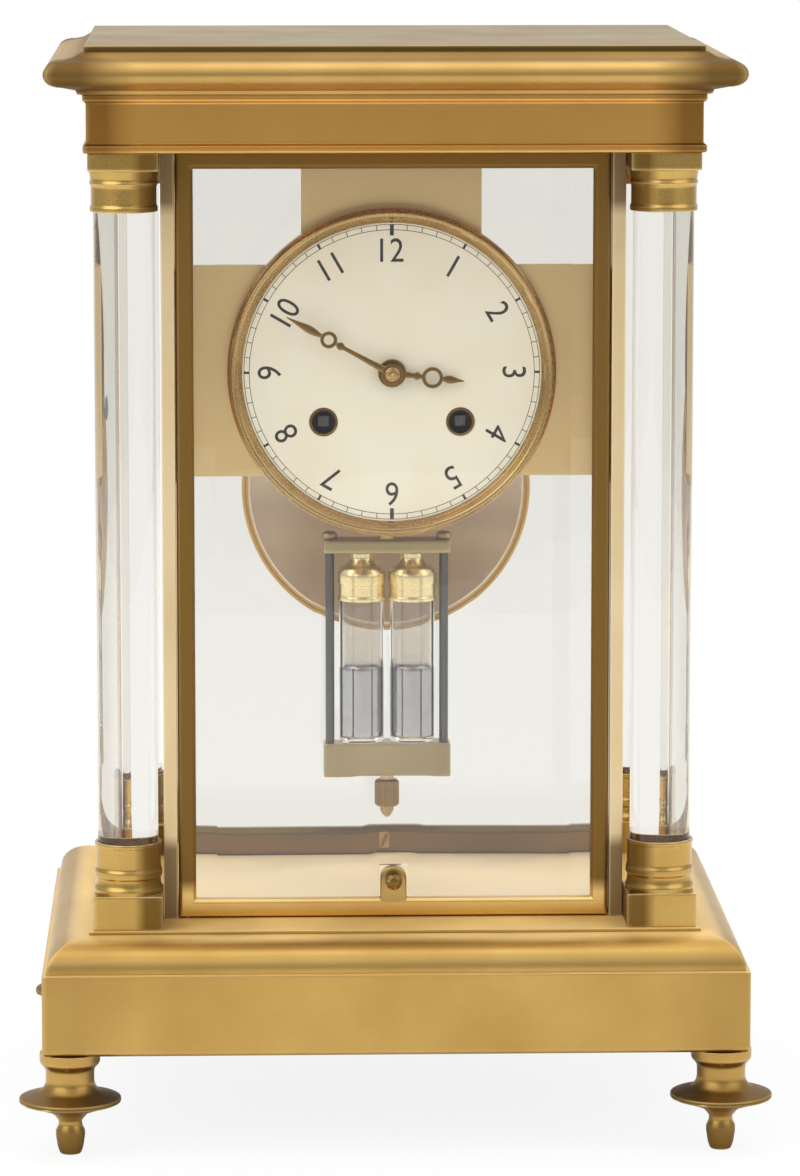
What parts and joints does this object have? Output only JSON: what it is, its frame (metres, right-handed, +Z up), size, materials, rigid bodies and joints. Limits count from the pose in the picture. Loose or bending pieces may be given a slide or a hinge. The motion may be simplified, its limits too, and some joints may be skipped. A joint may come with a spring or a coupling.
{
  "type": "crystal regulator clock",
  "caption": "Free-standing mantel clock: a glazed brass case with glass corner columns, opening doors, an enamel dial, a bell-striking movement and a mercury pendulum.",
  "frame": {"origin": "on the table, under the middle of the four feet", "axes": "+Z up, -Y out of the dial and the front door, +X to the right seen from the front"},
  "size_m": [0.2116, 0.1706, 0.3095],
  "materials": {
    "gilt_brass": "polished and lacquered gilt brass",
    "polished_plate": "polished brass plate",
    "movement_brass": "fine-grained brass",
    "bell_metal": "turned bell metal",
    "dark_brass": "toned brass",
    "steel": "ground steel",
    "crystal": "polished clear glass",
    "enamel": "glossy cream enamel on copper",
    "mercury": "liquid mirror"
  },
  "bodies": {
    "case": {"plinth": "gilt_brass", "bottom_plate": "steel", "floor_plate": "polished_plate", "feet": "gilt_brass", "column_bases": "gilt_brass", "glass_columns": "crystal", "capitals": "gilt_brass", "corner_posts": "gilt_brass", "side_rails": "gilt_brass", "side_glass_left": "crystal", "side_glass_right": "crystal", "frieze": "gilt_brass", "cornice": "gilt_brass", "top_panel": "gilt_brass", "hinge_pins": "steel", "seat_plate": "polished_plate", "seat_screws": "steel", "front_plate": "movement_brass", "back_plate": "movement_brass", "pillars": "movement_brass", "dial": "enamel", "bezel": "gilt_brass", "bell_stand": "movement_brass", "bell": "bell_metal", "bell_nut": "movement_brass", "suspension_block": "movement_brass"},
    "front_door": {"front_door_frame": "gilt_brass", "front_glass": "crystal"},
    "front_latch": {"front_latch": "dark_brass"},
    "rear_door": {"rear_door_frame": "gilt_brass", "rear_glass": "crystal"},
    "rear_latch": {"rear_latch": "dark_brass"},
    "third": {"third_wheel": "movement_brass"},
    "centre": {"centre_wheel": "movement_brass", "cannon_pinion": "steel", "minute_hand": "dark_brass", "hand_collet": "gilt_brass"},
    "escape": {"escape_wheel": "movement_brass"},
    "intermediate": {"intermediate_wheel": "movement_brass"},
    "going_barrel": {"going_barrel": "movement_brass"},
    "minute_wheel": {"minute_wheel": "movement_brass"},
    "hour": {"hour_wheel": "movement_brass", "hour_hand": "dark_brass"},
    "going_arbor": {"going_arbor": "steel"},
    "going_click": {"going_click": "steel"},
    "strike_gathering": {"strike_gathering_wheel": "movement_brass"},
    "strike_fly": {"strike_fly": "movement_brass"},
    "strike_pin": {"strike_pin_wheel": "movement_brass"},
    "strike_second": {"strike_second_wheel": "movement_brass"},
    "strike_barrel": {"strike_barrel": "movement_brass"},
    "strike_arbor": {"strike_arbor": "steel"},
    "strike_click": {"strike_click": "steel"},
    "pendulum": {"pendulum_rod": "gilt_brass", "pendulum_frame": "gilt_brass", "jar_caps": "gilt_brass", "jars": "crystal", "mercury": "mercury"},
    "pallets": {"pallets": "steel"},
    "rating_nut": {"rating_nut": "gilt_brass"},
    "hammer": {"hammer": "steel"}
  },
  "joints": [
    {"name": "front_door_hinge", "type": "hinge", "parent": "case", "child": "front_door", "pos_m": [-0.0586, -0.0455, 0.171], "axis": [0, 0, -1], "range_deg": [0, 90]},
    {"name": "front_latch_turn", "type": "hinge", "parent": "front_door", "child": "front_latch", "pos_m": [0, -0.0455, 0.0728], "axis": [0, 1, 0], "range_deg": [0, 90]},
    {"name": "rear_door_hinge", "type": "hinge", "parent": "case", "child": "rear_door", "pos_m": [-0.0586, 0.0455, 0.171], "axis": [0, 0, 1], "range_deg": [0, 90]},
    {"name": "rear_latch_turn", "type": "hinge", "parent": "rear_door", "child": "rear_latch", "pos_m": [0, 0.0455, 0.0675], "axis": [0, 1, 0], "range_deg": [0, 90]},
    {"name": "third_turn", "type": "hinge", "parent": "case", "child": "third", "pos_m": [-0.00115, 0, 0.22915], "axis": [0, 1, 0], "continuous": true},
    {"name": "centre_turn", "type": "hinge", "parent": "case", "child": "centre", "pos_m": [0, 0, 0.216], "axis": [0, 1, 0], "continuous": true},
    {"name": "escape_turn", "type": "hinge", "parent": "case", "child": "escape", "pos_m": [0, 0, 0.24105], "axis": [0, 1, 0], "continuous": true},
    {"name": "intermediate_turn", "type": "hinge", "parent": "case", "child": "intermediate", "pos_m": [0.01381, 0, 0.22007], "axis": [0, 1, 0], "continuous": true},
    {"name": "going_barrel_turn", "type": "hinge", "parent": "case", "child": "going_barrel", "pos_m": [0.01935, 0, 0.202], "axis": [0, 1, 0], "continuous": true},
    {"name": "minute_wheel_turn", "type": "hinge", "parent": "case", "child": "minute_wheel", "pos_m": [0.0042, 0, 0.22327], "axis": [0, 1, 0], "continuous": true},
    {"name": "hour_turn", "type": "hinge", "parent": "case", "child": "hour", "pos_m": [0, 0, 0.216], "axis": [0, 1, 0], "continuous": true},
    {"name": "going_winding", "type": "hinge", "parent": "case", "child": "going_arbor", "pos_m": [0.01935, 0, 0.202], "axis": [0, 1, 0], "continuous": true},
    {"name": "going_click_lift", "type": "hinge", "parent": "case", "child": "going_click", "pos_m": [0.02835, -0.0279, 0.208], "axis": [0, 1, 0], "range_deg": [0, 20]},
    {"name": "strike_gathering_turn", "type": "hinge", "parent": "case", "child": "strike_gathering", "pos_m": [-0.01316, 0, 0.24447], "axis": [0, 1, 0], "continuous": true},
    {"name": "strike_fly_turn", "type": "hinge", "parent": "case", "child": "strike_fly", "pos_m": [-0.02036, 0, 0.24863], "axis": [0, 1, 0], "continuous": true},
    {"name": "strike_pin_turn", "type": "hinge", "parent": "case", "child": "strike_pin", "pos_m": [-0.0172, 0, 0.23445], "axis": [0, 1, 0], "continuous": true},
    {"name": "strike_second_turn", "type": "hinge", "parent": "case", "child": "strike_second", "pos_m": [-0.02165, 0, 0.22076], "axis": [0, 1, 0], "continuous": true},
    {"name": "strike_barrel_turn", "type": "hinge", "parent": "case", "child": "strike_barrel", "pos_m": [-0.01935, 0, 0.202], "axis": [0, 1, 0], "continuous": true},
    {"name": "strike_winding", "type": "hinge", "parent": "case", "child": "strike_arbor", "pos_m": [-0.01935, 0, 0.202], "axis": [0, 1, 0], "continuous": true},
    {"name": "strike_click_lift", "type": "hinge", "parent": "case", "child": "strike_click", "pos_m": [-0.02835, -0.0279, 0.208], "axis": [0, -1, 0], "range_deg": [0, 20]},
    {"name": "pendulum_swing", "type": "hinge", "parent": "case", "child": "pendulum", "pos_m": [0, 0.016, 0.252], "axis": [0, 1, 0], "range_deg": [-3.5, 3.5]},
    {"name": "pallet_rock", "type": "hinge", "parent": "case", "child": "pallets", "pos_m": [0, 0, 0.252], "axis": [0, 1, 0], "range_deg": [-3.5, 3.5]},
    {"name": "rating_nut_turn", "type": "hinge", "parent": "pendulum", "child": "rating_nut", "pos_m": [0, 0.016, 0.0865], "axis": [0, 0, 1], "continuous": true},
    {"name": "hammer_lift", "type": "hinge", "parent": "case", "child": "hammer", "pos_m": [-0.0365, 0, 0.22602], "axis": [0, 1, 0], "range_deg": [0, 14]}
  ],
  "couplings": [
    {"joint": "centre_turn", "follows": "third_turn", "ratio": -0.1},
    {"joint": "escape_turn", "follows": "third_turn", "ratio": -12},
    {"joint": "intermediate_turn", "follows": "third_turn", "ratio": 0.014286},
    {"joint": "going_barrel_turn", "follows": "third_turn", "ratio": -0.0017857},
    {"joint": "minute_wheel_turn", "follows": "third_turn", "ratio": 0.033333},
    {"joint": "hour_turn", "follows": "third_turn", "ratio": -0.0083333},
    {"joint": "strike_fly_turn", "follows": "strike_gathering_turn", "ratio": -7},
    {"joint": "strike_pin_turn", "follows": "strike_gathering_turn", "ratio": -0.125},
    {"joint": "strike_second_turn", "follows": "strike_gathering_turn", "ratio": 0.017857},
    {"joint": "strike_barrel_turn", "follows": "strike_gathering_turn", "ratio": -0.0022321},
    {"joint": "pallet_rock", "follows": "pendulum_swing", "ratio": 1}
  ]
}
